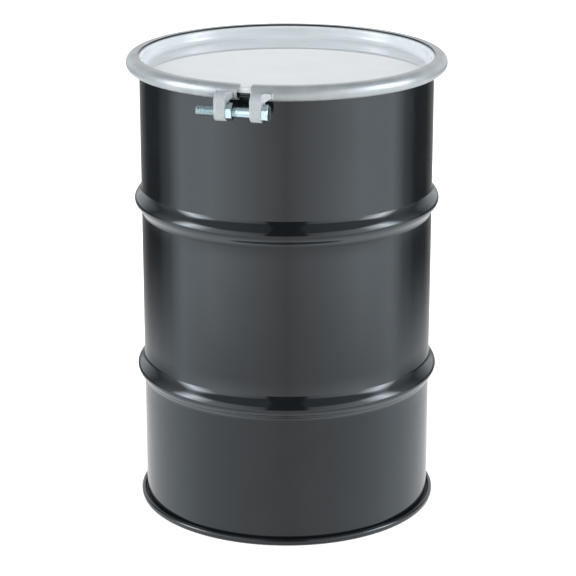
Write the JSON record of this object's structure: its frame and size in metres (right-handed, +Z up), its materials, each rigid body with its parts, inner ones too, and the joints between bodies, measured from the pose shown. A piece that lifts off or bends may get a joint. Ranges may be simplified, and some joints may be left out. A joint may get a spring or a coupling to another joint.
{
  "type": "open-head steel drum",
  "caption": "Open-head steel drum with rolling hoops, a recessed cover and a bolted closing ring, for storing and shipping bulk goods.",
  "frame": {"origin": "on the drum's axis, at the height of the bottom rim that stands on the floor", "axes": "+Z up along the drum's axis, -Y towards the gap in the closing ring, +X towards the bolt's head"},
  "size_m": [0.5082, 0.5291, 0.741],
  "materials": {
    "drum_enamel": "gloss black enamel",
    "cover_paint": "gloss light grey enamel",
    "ring_paint": "gloss grey enamel",
    "zinc": "bright zinc plate",
    "gasket_rubber": "matte",
    "sealant": "matte"
  },
  "bodies": {
    "drum": {"body_shell": "drum_enamel", "side_seam_weld": "drum_enamel", "bottom_head": "drum_enamel", "chime_sealant": "sealant"},
    "cover": {"cover": "cover_paint", "cover_gasket": "gasket_rubber"},
    "ring": {"closing_ring": "ring_paint", "threaded_lug": "ring_paint", "threaded_lug_weld": "ring_paint", "plain_lug": "ring_paint", "plain_lug_weld": "ring_paint"},
    "bolt": {"ring_bolt": "zinc"},
    "nut": {"jam_nut": "zinc"}
  },
  "joints": [
    {"name": "cover_lift", "type": "slide", "parent": "drum", "child": "cover", "axis": [0, 0, 1], "range_m": [0, 0.4]},
    {"name": "ring_lift", "type": "slide", "parent": "cover", "child": "ring", "axis": [0, 0, 1], "range_m": [0, 0.2], "deforming": ["closing_ring"]},
    {"name": "bolt_unscrew", "type": "slide", "parent": "ring", "child": "bolt", "axis": [1, 0, 0], "range_m": [0, 0.105]},
    {"name": "jam_nut_back_off", "type": "slide", "parent": "ring", "child": "nut", "axis": [1, 0, 0], "range_m": [0, 0.026]}
  ]
}
